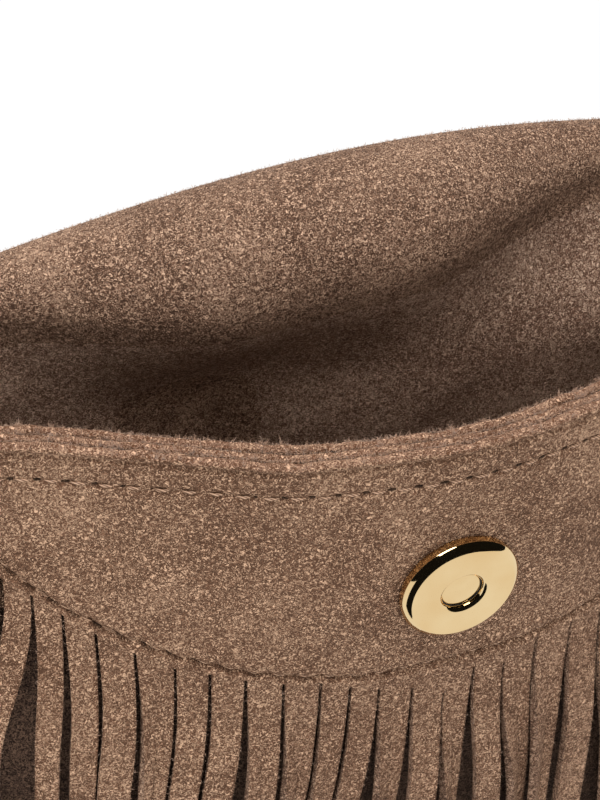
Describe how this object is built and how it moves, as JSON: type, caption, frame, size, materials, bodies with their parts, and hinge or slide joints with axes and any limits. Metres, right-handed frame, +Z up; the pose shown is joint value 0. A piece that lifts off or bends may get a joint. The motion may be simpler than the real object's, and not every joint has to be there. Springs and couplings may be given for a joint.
{
  "type": "fringed suede shoulder bag",
  "caption": "Small open suede bag with a fringed front yoke, a flap thrown over the back, a round magnetic snap and D-rings for a strap.",
  "frame": {"origin": "on the ground, under the middle of the flat base of the gusset", "axes": "+Z up, -Y towards the fringed front, +X to the right of someone who faces the front"},
  "size_m": [0.1896, 0.0741, 0.1813],
  "materials": {
    "yoke_suede": "napped suede, taupe brown",
    "body_suede": "napped suede, taupe brown",
    "lining_suede": "napped suede, taupe brown",
    "gold_plated_brass": "polished pale gold plate",
    "plated_steel": "plain zinc plate",
    "ferrite": "matt dark grey"
  },
  "bodies": {
    "bag": {"yoke_with_fringe": "yoke_suede", "front_panel": "body_suede", "front_facing": "lining_suede", "back_panel_with_flap": "body_suede", "back_and_flap_lining": "lining_suede", "gusset_strip": "body_suede", "snap_socket_cap": "gold_plated_brass", "snap_socket_magnet": "ferrite", "snap_socket_rivet": "gold_plated_brass", "snap_socket_base": "plated_steel", "snap_socket_washer": "plated_steel", "snap_stud_plate": "gold_plated_brass", "snap_stud_base": "plated_steel", "snap_stud_washer": "plated_steel", "strap_tab_left": "body_suede", "strap_tab_right": "body_suede"},
    "ring_left": {"strap_ring_left": "gold_plated_brass"},
    "ring_right": {"strap_ring_right": "gold_plated_brass"}
  },
  "joints": [
    {"name": "ring_left_swing", "type": "hinge", "parent": "bag", "child": "ring_left", "pos_m": [-0.08907, 0, 0.15569], "axis": [0, 1, 0], "range_deg": [0, 155]},
    {"name": "ring_right_swing", "type": "hinge", "parent": "bag", "child": "ring_right", "pos_m": [0.08907, 0, 0.15569], "axis": [0, -1, 0], "range_deg": [0, 155]}
  ]
}
